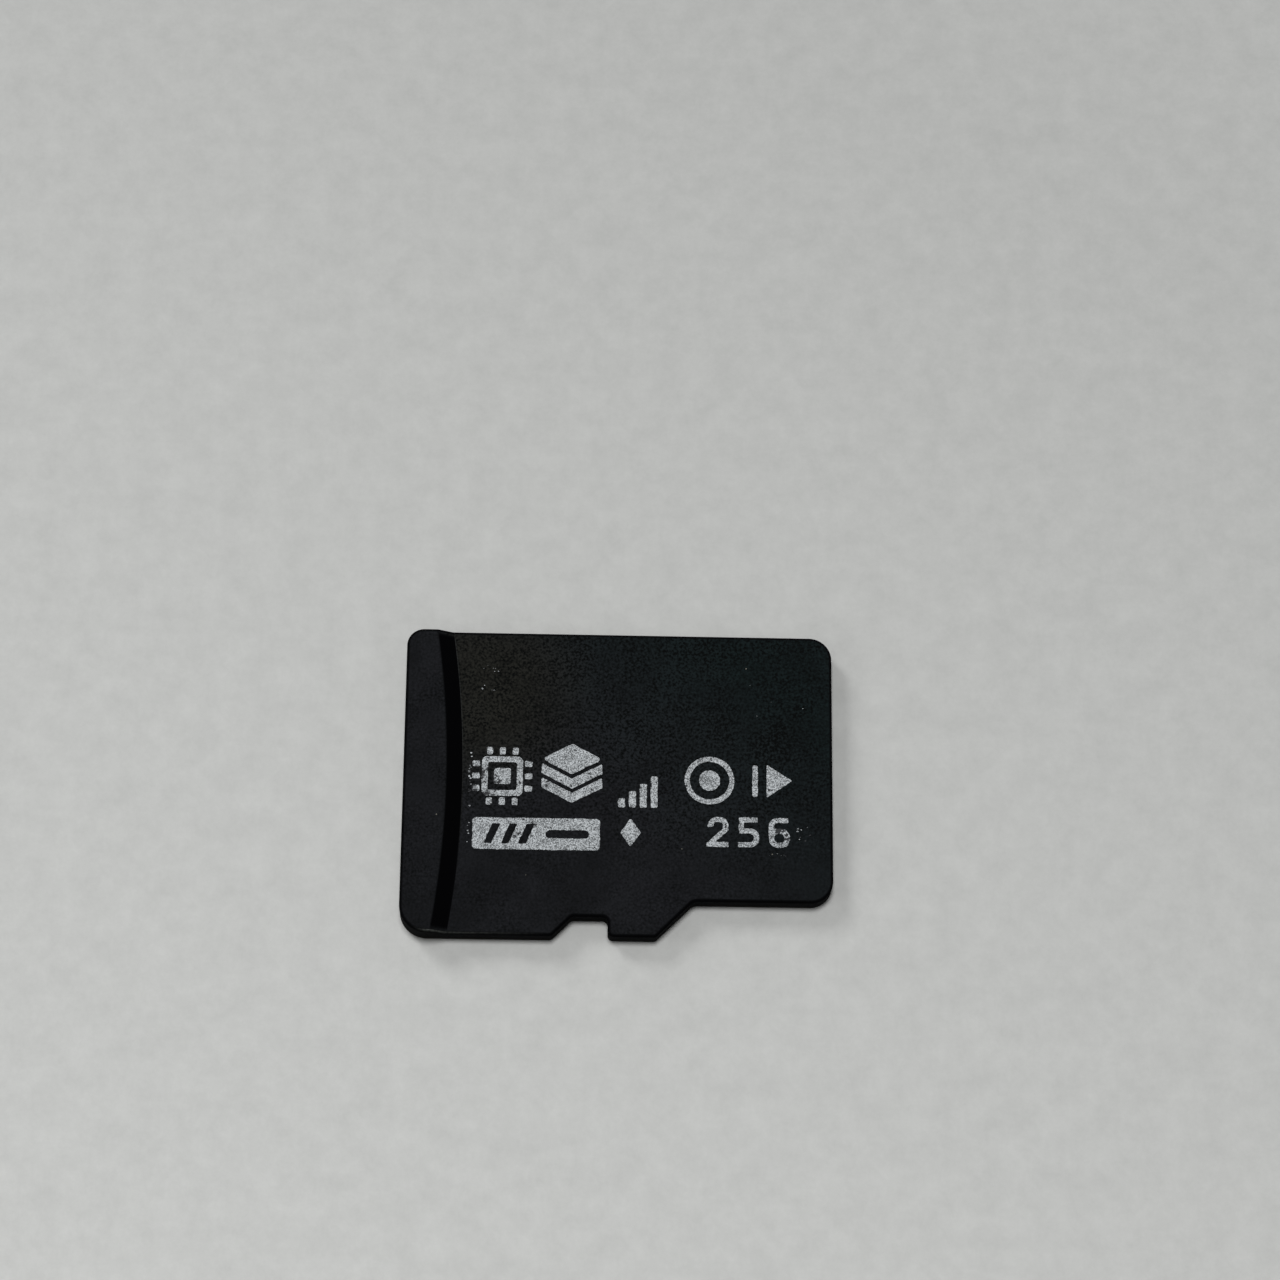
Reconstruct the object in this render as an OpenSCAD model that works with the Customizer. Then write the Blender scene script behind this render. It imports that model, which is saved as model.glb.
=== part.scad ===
// A thumbnail-sized flash memory card: an epoxy cap moulded over a thin circuit board.
// X runs along the card with the contact edge at +X, and Y across it with the straight side at +Y.
// Z is up through the printed face. The origin is under the middle of the card, on the contact side.

/* [Card] */
// Length from the back edge to the contact edge
card_length = 15; // [14.6:0.1:18]
// Width across the wide back part
card_width = 11; // [10.8:0.1:13.2]
// Thickness of the plate, board and moulding together
plate_thickness = 0.7; // [0.6:0.01:0.84]
// How much narrower the nose is than the back part
nose_step = 1.3; // [0.8:0.05:1.56]
// Flat broken off the upper edge all round
edge_break = 0.06; // [0.02:0.01:0.08]

/* [Corners] */
// Radius of the two corners at the contact edge
front_corner_r = 0.8; // [0.5:0.05:1]
// Radius of the back corner on the straight side
back_corner_r = 0.6; // [0.4:0.05:1]
// Radius of the back corner on the notched side
back_notched_corner_r = 0.95; // [0.5:0.05:1.1]
// Radius of the small corners round the latch notch and the tab
notch_corner_r = 0.2; // [0.15:0.01:0.3]
// Fillet where the nose meets its slanted shoulder
shoulder_fillet_r = 0.4; // [0.2:0.05:0.8]

/* [Latch notch] */
// From the contact edge to the notch wall that the socket's latch pulls on
notch_from_front = 7.8; // [7.5:0.05:8.5]
// Depth of the notch
notch_depth = 0.7; // [0.5:0.05:0.85]
// Length of the notch floor
notch_floor_length = 1.25; // [0.9:0.05:1.6]
// From the contact edge to the corner where the tab ends and the shoulder starts
tab_from_front = 6.15; // [5.5:0.05:6.5]

/* [Thumb rib] */
// Height of the rib above the plate
rib_height = 0.3; // [0.2:0.01:0.36]
// From the back edge to the rib's crest, at mid width
rib_crest_from_back = 1.5; // [1.3:0.05:1.8]
// Run of the rib's sloped face, seen from above
rib_slope_run = 0.52; // [0.42:0.01:0.62]
// Radius of the arc that the foot of the slope follows, seen from above
rib_arc_r = 35; // [28:1:42]
// Rounding along the crest
rib_crest_r = 0.15; // [0.05:0.01:0.3]
// Fillet along the foot of the slope
rib_foot_r = 0.15; // [0.05:0.01:0.3]

/* [Circuit board] */
// Thickness of the board
board_thickness = 0.2; // [0.16:0.01:0.24]
// Width of one contact
contact_width = 0.8; // [0.6:0.05:0.9]
// Length of a signal contact
contact_length = 2.9; // [2.4:0.1:3.5]
// Distance between the middles of two neighbouring contacts
contact_pitch = 1.1; // [0.91:0.01:1.15]
// From the contact edge to the signal contacts
contact_from_front = 1.1; // [0.9:0.05:1.3]
// How much further forward the two supply contacts reach
supply_lead = 0.3; // [0.1:0.05:0.4]
// Corner radius of a contact
contact_corner_r = 0.1; // [0.05:0.01:0.2]
// Thickness of a contact
contact_thickness = 0.035; // [0.02:0.005:0.05]
// How far the contacts lie below the face of the board
contact_recess = 0.01; // [0.005:0.005:0.03]

/* [Flash die] */
// Length of the die along the card
flash_length = 8.2; // [6.8:0.1:8.3]
// Width of the die across the card
flash_width = 8.6; // [7.1:0.1:8.8]
// Thickness of the die
flash_thickness = 0.1; // [0.05:0.01:0.12]
// From the back edge of the card to the die
flash_from_back = 0.6; // [0.4:0.05:0.7]
// From the straight side of the card to the die
flash_from_side = 0.85; // [0.6:0.05:0.9]
// Number of wires from the die
flash_wires = 14; // [4:1:16]
// Distance between two of its wires
flash_wire_pitch = 0.5; // [0.3:0.05:0.55]

/* [Controller die] */
// Length of the die along the card
controller_length = 2.4; // [1.6:0.1:2.6]
// Width of the die across the card
controller_width = 3; // [2.5:0.1:3.6]
// Thickness of the die
controller_thickness = 0.12; // [0.05:0.01:0.15]
// From the contact edge of the card to the die
controller_from_front = 2; // [1.6:0.05:2.1]
// From the straight side of the card to the die
controller_from_side = 2.7; // [2:0.1:3.2]
// Number of wires along each of its two long sides
controller_wires = 10; // [4:1:11]
// Distance between two of its wires
controller_wire_pitch = 0.25; // [0.16:0.01:0.27]

/* [Bonding] */
// Thickness of the adhesive film under each die
film_thickness = 0.02; // [0.01:0.005:0.03]
// Diameter of a bond wire
wire_d = 0.025; // [0.02:0.001:0.03]
// Height of a wire's loop above its die
loop_rise = 0.12; // [0.09:0.01:0.15]
// Bend radius of a wire at its two shoulders
wire_bend_r = 0.05; // [0.03:0.01:0.06]
// Diameter of the ball on the die and of the foot on the board
bond_ball_d = 0.06; // [0.04:0.005:0.07]
// Height of the ball and the foot
bond_ball_height = 0.015; // [0.01:0.001:0.02]
// From the edge of a die to its row of bond pads
pad_inset = 0.1; // [0.06:0.01:0.15]
// From the edge of a die to its row of fingers on the board
finger_gap = 0.3; // [0.2:0.05:0.35]
// Length of a finger
finger_length = 0.28; // [0.2:0.02:0.3]
// Width of a finger
finger_width = 0.12; // [0.08:0.01:0.14]
// Thickness of a finger
finger_thickness = 0.02; // [0.01:0.005:0.03]

/* [Chip parts] */
// Length of a chip capacitor or resistor
chip_length = 0.6; // [0.5:0.01:0.68]
// Width of a chip part
chip_width = 0.3; // [0.25:0.01:0.36]
// Height of a chip capacitor
capacitor_height = 0.3; // [0.2:0.01:0.33]
// Height of a chip resistor
resistor_height = 0.23; // [0.15:0.01:0.28]
// Length of the metal cap on each end
end_cap_length = 0.15; // [0.1:0.01:0.18]
// Thickness of that metal cap
end_cap_thickness = 0.015; // [0.01:0.001:0.02]
// Solder under each end
solder_thickness = 0.02; // [0.01:0.005:0.03]
// How far the solder fillet runs out past the end
solder_run = 0.1; // [0.05:0.01:0.12]
// From the contact edge of the card to the first chip part
chips_from_front = 1.6; // [1.2:0.1:1.8]
// Distance between two chip parts
chip_pitch = 0.9; // [0.85:0.05:1]
// From the notched side of the nose to the row of chip parts
chips_from_side = 1.9; // [1.3:0.1:2.2]

/* [Hidden] */
$fn = 64;

// Circles that round a corner are this much larger, so that they cross its edges at a clear angle
blend = 0.001;
// Cutting solids reach this far past the faces that they cut
past = 0.05;

front_x = card_length / 2;
back_x = -card_length / 2;
straight_y = card_width / 2;
wide_y = -card_width / 2;
nose_y = wide_y + nose_step;
notch_floor_y = wide_y + notch_depth;
notch_wall_x = front_x - notch_from_front;
notch_ramp_x = notch_wall_x - notch_floor_length;
tab_end_x = front_x - tab_from_front;
rib_top = plate_thickness + rib_height;

// The card's outline, anticlockwise from above: x, y and the corner's radius
outline = [
    [front_x, straight_y, front_corner_r],
    [back_x, straight_y, back_corner_r],
    [back_x, wide_y, back_notched_corner_r],
    [notch_ramp_x - notch_depth, wide_y, notch_corner_r],
    [notch_ramp_x, notch_floor_y, notch_corner_r],
    [notch_wall_x, notch_floor_y, notch_corner_r],
    [notch_wall_x, wide_y, notch_corner_r],
    [tab_end_x, wide_y, notch_corner_r],
    [tab_end_x + nose_step, nose_y, shoulder_fillet_r],
    [front_x, nose_y, front_corner_r]
];

// The rib's section, from the centre of its arc outwards: distance, height and radius
rib_depth = rib_crest_from_back + rib_slope_run + 2;
rib_flange = 0.3;
rib_foot_x = back_x + rib_crest_from_back + rib_slope_run;
rib_section = [
    [rib_arc_r - rib_depth, board_thickness, 0],
    [rib_arc_r + rib_flange, board_thickness, 0],
    [rib_arc_r + rib_flange, plate_thickness, 0],
    [rib_arc_r, plate_thickness, rib_foot_r],
    [rib_arc_r - rib_slope_run, rib_top, rib_crest_r],
    [rib_arc_r - rib_depth, rib_top, 0]
];
rib_half_angle = asin((card_width / 2 + 0.5) / (rib_arc_r - rib_depth));

contact_count = 8;
supply_contacts = [4, 6];
contact_back_x = front_x - contact_from_front - contact_length;
contact_row_y = (straight_y + nose_y) / 2;

film_top = board_thickness + film_thickness;
finger_top = board_thickness + finger_thickness;
flash_x = [back_x + flash_from_back, back_x + flash_from_back + flash_length];
flash_y = [straight_y - flash_from_side - flash_width, straight_y - flash_from_side];
flash_middle_y = (flash_y[0] + flash_y[1]) / 2;
flash_top = film_top + flash_thickness;
controller_x = [
    front_x - controller_from_front - controller_length,
    front_x - controller_from_front
];
controller_y = [
    straight_y - controller_from_side - controller_width,
    straight_y - controller_from_side
];
controller_middle_y = (controller_y[0] + controller_y[1]) / 2;
controller_top = film_top + controller_thickness;
wire_span = pad_inset + finger_gap + finger_length / 2;

chip_base = board_thickness + solder_thickness;
chip_y = nose_y + chips_from_side;
chip_heights = [capacitor_height, capacitor_height, capacitor_height, resistor_height];

function unit(v) = v / norm(v);
function flat(corner) = [corner.x, corner.y];
function before(corners, i) = flat(corners[(i + len(corners) - 1) % len(corners)]);
function after(corners, i) = flat(corners[(i + 1) % len(corners)]);
function is_convex(corners, i) =
    cross(flat(corners[i]) - before(corners, i), after(corners, i) - flat(corners[i])) > 0;
function half_angle(corners, i) =
    acos(unit(before(corners, i) - flat(corners[i])) * unit(after(corners, i) - flat(corners[i]))) / 2;
function bisector(corners, i) =
    unit(unit(before(corners, i) - flat(corners[i])) + unit(after(corners, i) - flat(corners[i])));
function round_centre(corners, i) =
    flat(corners[i]) + bisector(corners, i) * corners[i][2] / sin(half_angle(corners, i));

// The kite between a corner and the centre of its rounding circle, reaching past the corner
module corner_kite(corners, i) {
    tip = flat(corners[i]);
    r = corners[i][2];
    centre = round_centre(corners, i);
    reach = 2 * edge_break;
    touch_a = touch_point(corners, i, before(corners, i));
    touch_b = touch_point(corners, i, after(corners, i));
    polygon([
        centre,
        centre + (touch_a - centre) * (1 + reach / r),
        tip - bisector(corners, i) * reach / sin(half_angle(corners, i)),
        centre + (touch_b - centre) * (1 + reach / r)
    ]);
}

// Where a corner's arc touches the edge towards a neighbouring corner
function touch_point(corners, i, neighbour) =
    flat(corners[i]) + unit(neighbour - flat(corners[i])) * corners[i][2] / tan(half_angle(corners, i));

// A polygon whose corners are rounded with true arcs. A corner that turns inwards is filled as far
// as the middle of its arc, and the circle takes the filling out again.
module rounded_polygon(corners) {
    last = len(corners) - 1;
    difference() {
        polygon([
            for (i = [0:last])
                each (is_convex(corners, i) ? [flat(corners[i])] : [
                    touch_point(corners, i, before(corners, i)),
                    round_centre(corners, i),
                    touch_point(corners, i, after(corners, i))
                ])
        ]);
        for (i = [0:last]) {
            if (corners[i][2] > 0) {
                if (is_convex(corners, i)) {
                    corner_patch(corners, i);
                } else {
                    rounding_circle(corners, i);
                }
            }
        }
    }
}

module rounding_circle(corners, i) {
    translate(round_centre(corners, i)) circle(corners[i][2] + blend);
}

// What the arc of a corner takes off outside it
module corner_patch(corners, i) {
    difference() {
        corner_kite(corners, i);
        rounding_circle(corners, i);
    }
}

// A corner's patch as a solid, whose round wall leans back into the broken upper edge. It is taken
// off where the corner turns outwards, and added where it turns inwards.
module broken_corner_patch(i, low, high, top) {
    r = outline[i][2] + blend;
    lean = is_convex(outline, i) ? -1 : 1;
    difference() {
        translate([0, 0, low]) linear_extrude(high - low) corner_kite(outline, i);
        translate(round_centre(outline, i)) rotate_extrude() polygon([
            [0, low - past],
            [r, low - past],
            [r, top - edge_break],
            [r + lean * (edge_break + past), top + past],
            [0, top + past]
        ]);
    }
}

// A wedge that breaks the upper edge from corner i to the next one
module edge_wedge(i, top) {
    start = flat(outline[i]);
    along = after(outline, i) - start;
    next = (i + 1) % len(outline);
    lead_in = is_convex(outline, i) ? past : 0;
    lead_out = is_convex(outline, next) ? past : 0;
    translate(start) rotate(atan2(along.y, along.x)) translate([-lead_in, 0, 0])
        rotate([90, 0, 90]) linear_extrude(norm(along) + lead_in + lead_out) polygon([
            [edge_break + past, top + past],
            [-past, top - edge_break - past],
            [-past, top + past]
        ]);
}

// The moulding's outline from the board up to a flat top, with the upper edge broken
module card_blank(top) {
    last = len(outline) - 1;
    difference() {
        translate([0, 0, board_thickness]) linear_extrude(top - board_thickness)
            polygon([for (corner = outline) flat(corner)]);
        for (i = [0:last]) edge_wedge(i, top);
        for (i = [0:last]) {
            if (is_convex(outline, i)) broken_corner_patch(i, board_thickness - past, top + past, top);
        }
    }
    for (i = [0:last]) {
        if (!is_convex(outline, i)) broken_corner_patch(i, board_thickness, top, top);
    }
}

// The thumb rib's arc, turned about a centre far behind the card
module rib_former() {
    translate([rib_foot_x - rib_arc_r, 0, 0]) rotate(-rib_half_angle)
        rotate_extrude(angle = 2 * rib_half_angle) rounded_polygon(rib_section);
}

// The epoxy cap: a plate with the thumb rib, moulded round everything that stands on the board
module mould_body() {
    color("#1c1d1e") difference() {
        union() {
            card_blank(plate_thickness);
            intersection() {
                card_blank(rib_top);
                rib_former();
            }
        }
        flash_film();
        flash_die();
        flash_bond_fingers();
        flash_bond_wires();
        controller_film();
        controller_die();
        controller_bond_fingers();
        controller_bond_wires();
        for (i = [0:3]) chip_part(i);
        chip_end_caps();
        solder_joints();
    }
}

// The circuit board, with a shallow pocket for each contact
module board() {
    color("#20241f") difference() {
        linear_extrude(board_thickness) rounded_polygon(outline);
        for (n = [1:contact_count]) {
            translate([0, 0, -past]) linear_extrude(past + contact_recess + contact_thickness)
                contact_outline(n);
        }
    }
}

// One contact seen from above, counted from the notched side
module contact_outline(n) {
    x0 = contact_back_x;
    x1 = contact_back_x + contact_length + (search(n, supply_contacts) == [] ? 0 : supply_lead);
    y0 = contact_row_y + (n - (contact_count + 1) / 2) * contact_pitch - contact_width / 2;
    y1 = y0 + contact_width;
    rounded_polygon([
        [x0, y0, contact_corner_r],
        [x1, y0, contact_corner_r],
        [x1, y1, contact_corner_r],
        [x0, y1, contact_corner_r]
    ]);
}

module contact(n) {
    color("#c8a24e") translate([0, 0, contact_recess])
        linear_extrude(contact_thickness) contact_outline(n);
}

// A flat block between two x values, two y values and two heights
module block(x, y, z) {
    translate([x[0], y[0], z[0]]) cube([x[1] - x[0], y[1] - y[0], z[1] - z[0]]);
}

module flash_die() {
    color("#5d6470") block(flash_x, flash_y, [film_top, flash_top]);
}

module flash_film() {
    color("#b9b39a") block(flash_x, flash_y, [board_thickness, film_top]);
}

module controller_die() {
    color("#4d5560") block(controller_x, controller_y, [film_top, controller_top]);
}

module controller_film() {
    color("#b9b39a") block(controller_x, controller_y, [board_thickness, film_top]);
}

// Places its children once for each wire of a row, at even steps in y
module wire_row(count, pitch) {
    for (i = [0:count - 1]) {
        translate([0, (i - (count - 1) / 2) * pitch, 0]) children();
    }
}

// Places its children along the front edge of the flash die, with x = 0 at the edge
module flash_row() {
    translate([flash_x[1], flash_middle_y, 0]) wire_row(flash_wires, flash_wire_pitch) children();
}

// Places its children along the front and back edges of the controller die
module controller_rows() {
    for (side = [0, 1]) {
        translate([controller_x[side], controller_middle_y, 0]) mirror([1 - side, 0, 0])
            wire_row(controller_wires, controller_wire_pitch) children();
    }
}

// A plated finger on the board, beside the edge of a die at x = 0
module bond_finger() {
    block(
        [finger_gap, finger_gap + finger_length],
        [-finger_width / 2, finger_width / 2],
        [board_thickness, finger_top]
    );
}

// One gold wire from its ball on the die, over a flat loop, down to its foot on the finger
module bond_wire(die_top) {
    loop_z = die_top + loop_rise;
    shoulder_z = loop_z - wire_bend_r;
    translate([-pad_inset, 0, 0]) {
        translate([0, 0, die_top]) cylinder(h = bond_ball_height, d = bond_ball_d);
        translate([0, 0, die_top]) cylinder(h = shoulder_z - die_top, d = wire_d);
        translate([wire_bend_r, 0, shoulder_z]) rotate([90, 0, 0]) rotate(90) wire_bend();
        translate([wire_bend_r, 0, loop_z]) rotate([0, 90, 0])
            cylinder(h = wire_span - 2 * wire_bend_r, d = wire_d);
        translate([wire_span - wire_bend_r, 0, shoulder_z]) rotate([90, 0, 0]) wire_bend();
        translate([wire_span, 0, finger_top]) cylinder(h = shoulder_z - finger_top, d = wire_d);
        translate([wire_span, 0, finger_top]) cylinder(h = bond_ball_height, d = bond_ball_d);
    }
}

module wire_bend() {
    rotate_extrude(angle = 90) translate([wire_bend_r, 0]) circle(d = wire_d);
}

module flash_bond_wires() {
    color("#d8b45a") flash_row() bond_wire(flash_top);
}

module flash_bond_fingers() {
    color("#c8a24e") flash_row() bond_finger();
}

module controller_bond_wires() {
    color("#d8b45a") controller_rows() bond_wire(controller_top);
}

module controller_bond_fingers() {
    color("#c8a24e") controller_rows() bond_finger();
}

// Moves to the middle of chip part i, on top of its solder
module at_chip(i) {
    translate([front_x - chips_from_front - chip_length / 2 - i * chip_pitch, chip_y, chip_base])
        children();
}

// The bare body of chip part i, inside its metal ends
module chip_part(i) {
    inner = chip_heights[i] - 2 * end_cap_thickness;
    at_chip(i) block(
        [end_cap_thickness - chip_length / 2, chip_length / 2 - end_cap_thickness],
        [end_cap_thickness - chip_width / 2, chip_width / 2 - end_cap_thickness],
        [end_cap_thickness, end_cap_thickness + inner]
    );
}

module capacitor(i) {
    color("#8b6f57") chip_part(i);
}

module resistor() {
    color("#22252a") chip_part(3);
}

// The tinned metal cap on each end of every chip part
module chip_end_caps() {
    color("#c4c7ca") difference() {
        for (i = [0:3], side = [0, 1]) {
            at_chip(i) mirror([side, 0, 0]) block(
                [chip_length / 2 - end_cap_length, chip_length / 2],
                [-chip_width / 2, chip_width / 2],
                [0, chip_heights[i]]
            );
        }
        for (i = [0:3]) chip_part(i);
    }
}

// Solder under each metal cap, with a fillet that climbs its end
module solder_joints() {
    color("#a4a8ab") for (i = [0:3], side = [0, 1]) {
        at_chip(i) mirror([side, 0, 0]) translate([chip_length / 2, chip_width / 2, 0])
            rotate([90, 0, 0]) linear_extrude(chip_width) polygon([
                [-end_cap_length, -solder_thickness],
                [solder_run, -solder_thickness],
                [0, solder_run],
                [0, 0],
                [-end_cap_length, 0]
            ]);
    }
}

mould_body();
board();
contact(1);  // contact_1
contact(2);  // contact_2
contact(3);  // contact_3
contact(4);  // contact_4
contact(5);  // contact_5
contact(6);  // contact_6
contact(7);  // contact_7
contact(8);  // contact_8
flash_die();
flash_film();
flash_bond_wires();
flash_bond_fingers();
controller_die();
controller_film();
controller_bond_wires();
controller_bond_fingers();
capacitor(0);  // capacitor_1
capacitor(1);  // capacitor_2
capacitor(2);  // capacitor_3
resistor();
chip_end_caps();
solder_joints();
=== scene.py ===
import math

import bpy
import numpy as np
from bpy.props import FloatProperty, FloatVectorProperty, IntProperty, PointerProperty
from mathutils.geometry import tessellate_polygon
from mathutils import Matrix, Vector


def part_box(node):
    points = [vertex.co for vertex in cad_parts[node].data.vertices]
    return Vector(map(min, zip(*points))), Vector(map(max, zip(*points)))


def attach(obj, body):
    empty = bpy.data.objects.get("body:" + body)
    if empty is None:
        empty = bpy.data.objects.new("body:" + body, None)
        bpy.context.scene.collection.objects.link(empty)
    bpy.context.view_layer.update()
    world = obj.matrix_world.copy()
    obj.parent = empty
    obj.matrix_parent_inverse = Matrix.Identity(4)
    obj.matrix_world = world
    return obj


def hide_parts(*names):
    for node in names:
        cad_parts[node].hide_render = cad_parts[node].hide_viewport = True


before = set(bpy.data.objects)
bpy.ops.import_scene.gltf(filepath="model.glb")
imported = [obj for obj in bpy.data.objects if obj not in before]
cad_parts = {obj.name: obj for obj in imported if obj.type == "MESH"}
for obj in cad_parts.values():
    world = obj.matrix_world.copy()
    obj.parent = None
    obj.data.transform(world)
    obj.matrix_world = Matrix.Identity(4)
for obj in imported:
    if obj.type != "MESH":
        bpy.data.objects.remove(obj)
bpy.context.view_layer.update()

bl_info = {
    "name": "Flash Memory Card",
    "version": (1, 0, 0),
    "blender": (4, 5, 0),
    "location": "View3D > Sidebar > Memory Card",
    "description": "Finishes a thumbnail-sized flash memory card: cap, print, board and inner parts",
    "category": "Object",
}

MM = 0.001
BODY = "root"
CAP_LOW, CAP_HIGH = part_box("mould_body")
CONTACTS = [f"contact_{number}" for number in range(1, 9)]
ROUND_POINTS = 9  # across each rounding of the cap
FLAT = 0.03 * MM  # beside each rounding, which keeps the shading of the flat faces flat
SLOPE_LOW, SLOPE_HIGH = 0.8 * MM, 0.95 * MM  # heights on the rib's slope, where the grain changes
WORN_PLACES = (  # where the print is rubbed off: x, y and reach in millimetres
    (-5.2, -0.3, 1.5),
    (6.1, -1.9, 1.0),
)
CAMERA_PLACE = (-2.333, -36.501, 121.093)  # in millimetres
CAMERA_TURN = (19.154, -1.369, 1.021)  # in degrees about X, Y and Z, with Z turned first
SENSOR = 36  # width in millimetres
LAMPS = (  # name, and azimuth from +X, elevation and width in degrees
    ("window", 132, 31, 18),
    ("overhead", 105, 81, 18),
    ("fill", 200, 31, 40),
)


def linear(code):
    """The linear RGB of an sRGB hex code such as "1c1d1e"."""
    channels = np.array([int(code[i:i + 2], 16) for i in (0, 2, 4)]) / 255
    low = channels / 12.92
    high = ((channels + 0.055) / 1.055) ** 2.4
    return tuple(np.where(channels <= 0.04045, low, high))


def length(name, description, millimetres, **limits):
    """A property that holds a length, given here in millimetres and kept in metres."""
    limits = {key: value * MM for key, value in limits.items()}
    return FloatProperty(
        name=name, description=description, default=millimetres * MM, unit="LENGTH", precision=6, **limits
    )


def colour(name, description, code):
    """A property that holds a colour, given here as an sRGB hex code."""
    return FloatVectorProperty(
        name=name, description=description, default=linear(code), subtype="COLOR", size=3, min=0, max=1
    )


class CardShape(bpy.types.PropertyGroup):
    """The outline of the card and the form of its thumb rib."""

    plate_z: length("Plate height", "Height of the plate's upper face", 0.7, min=0.5, max=0.9)
    edge_r: length("Edge radius", "Rounding of the moulding's upper edge", 0.085, min=0.02, max=0.09)
    nose_step: length("Nose step", "How much narrower the nose is than the back part", 1.3, min=1, max=1.6)
    front_r: length("Front corners", "Radius of the corners at the contact edge", 0.8, min=0.4, max=1)
    back_r: length("Back corner", "Radius of the back corner on the straight side", 0.6, min=0.4, max=1)
    back_notched_r: length("Back notched corner", "Radius of the other back corner", 0.95, min=0.4, max=1)
    notch_r: length("Notch corners", "Radius of the small corners round the notch", 0.2, min=0.15, max=0.3)
    shoulder_r: length("Shoulder fillet", "Fillet where the nose meets its shoulder", 0.4, min=0.2, max=0.8)
    notch_front: length("Notch place", "From the contact edge to the square wall of the notch", 7.8)
    notch_depth: length("Notch depth", "Depth of the latch notch", 0.7, min=0.3, max=0.8)
    notch_floor: length("Notch floor", "Length of the notch's floor", 1.25, min=0.9, max=1.6)
    tab_front: length("Tab place", "From the contact edge to the end of the tab", 6.15)
    rib_crest: length("Rib crest", "From the back edge to the crest at mid width", 1.5)
    rib_run: length("Rib slope", "Run of the rib's sloped face", 0.52)
    rib_arc_r: length("Rib arc", "Radius of the arc at the foot of the slope", 35)
    rib_crest_r: length("Crest rounding", "Rounding along the crest", 0.15)
    rib_foot_r: length("Foot fillet", "Fillet along the foot of the slope", 0.15)


class MouldLook(bpy.types.PropertyGroup):
    """The finish of the moulded cap."""

    dark: colour("Dark grain", "Colour in the pits of the spark-eroded grain", "040505")
    light: colour("Light grain", "Colour on the peaks of the grain", "1f2023")
    warm: colour("Warm grain", "Colour on the peaks near the back corner of the plate", "21211e")
    cool: colour("Cool grain", "Colour on the peaks toward the contact edge", "141c1d")
    # Partly painted shade: the walls are darker than the plate to stand in for the shade they sit in; the
    # ridges are the cut's own.
    wall: colour("Walls", "Colour of the ridges that the cut leaves on the side walls", "0d0e0f")
    # Painted shade: this near-black stands in for the slope's shade and dark reflection, and it also darkens
    # the rounded edge and the pits of the walls' ridges.
    slope: colour("Slope", "Colour of the smooth, resin-rich slope of the rib", "020203")
    # Painted highlight: the pale line of light along the rib's rounded edge on the notched side and along the
    # foot of its slope, laid into the colour.
    painted_glint_colour: colour("Rubbed edge", "Colour of the rib's edge where handling has burnished it", "484a48")
    dust: colour("Dust", "Colour of the filler grains and dust that show as pale specks", "6c6a62")
    grain: length("Grain", "Width of one grain of the spark-eroded surface", 0.09, min=0.03, max=0.3)
    depth: length("Grain depth", "Depth of the grain", 0.006, min=0, max=0.02)
    roughness: FloatProperty(
        name="Roughness", description="Roughness of the plate", default=0.75, min=0, max=1
    )


class PrintLook(bpy.types.PropertyGroup):
    """The printed marks and their ink."""

    ink: colour("Ink", "Colour of the ink where it is whole", "c0c5c8")
    thin_ink: colour("Thin ink", "Colour of the ink where the black grain shows through", "4b4e50")
    thickness: length("Thickness", "Thickness of the ink", 0.008, min=0.002, max=0.02)
    mottle: length("Mottle", "Size of the mottling in the ink", 0.04, min=0.02, max=0.2)
    edge_wander: length(
        "Edge wander", "How far the edge of a mark strays from its true line", 0.0055, min=0, max=0.03
    )
    figure_scale: FloatProperty(
        name="Figure scale", description="Scale of the plain number", default=1, min=0.5, max=1.2
    )
    seed: IntProperty(name="Seed", description="Seed for the stray flecks and the wandering edges", default=7)


class BoardLook(bpy.types.PropertyGroup):
    """The board and its contacts."""

    mask: colour("Solder mask", "Colour of the solder mask on the contact side", "0d0f0f")
    mask_over_copper: colour("Mask over copper", "Colour of the mask where copper lies under it", "15191a")
    laminate: colour("Laminate", "Colour of the sawn sides of the board", "141311")
    trace_run: length("Trace length", "From a contact to the via behind it", 2, min=0.5, max=3)
    hatch_step: length(
        "Hatch step", "Distance between two bars of the hatched ground plane", 0.5, min=0.3, max=1
    )
    gold: colour("Gold", "Colour of the hard gold plate", "e2b25c")
    wiped: colour("Wiped gold", "Colour where the socket's springs have wiped the gold", "ecd29c")
    scratch: length(
        "Scratch spacing", "Spacing of the fine scratches along a contact", 0.02, min=0.01, max=0.1
    )


class StageLook(bpy.types.PropertyGroup):
    """The floor, the light and the camera."""

    floor: colour("Floor", "Colour of the plain pale floor", "bdbebc")
    backdrop: colour("Backdrop", "Colour seen past the floor", "bdbebc")
    floor_size: length("Floor size", "Length of the floor's side", 900)
    lens: FloatProperty(
        name="Lens", description="Focal length in millimetres", default=101.25, min=20, max=300
    )
    window_share: FloatProperty(
        name="Window share", description="Share of the floor's light that comes from the window",
        default=0.2, min=0, max=1,
    )
    overhead_share: FloatProperty(
        name="Overhead share", description="Share of the floor's light that comes from the overhead softbox",
        default=0.6, min=0, max=1,
    )
    fill_share: FloatProperty(
        name="Fill share", description="Share of the floor's light that comes from the wide fill on the left",
        default=0.06, min=0, max=1,
    )


# Meshes

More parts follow.
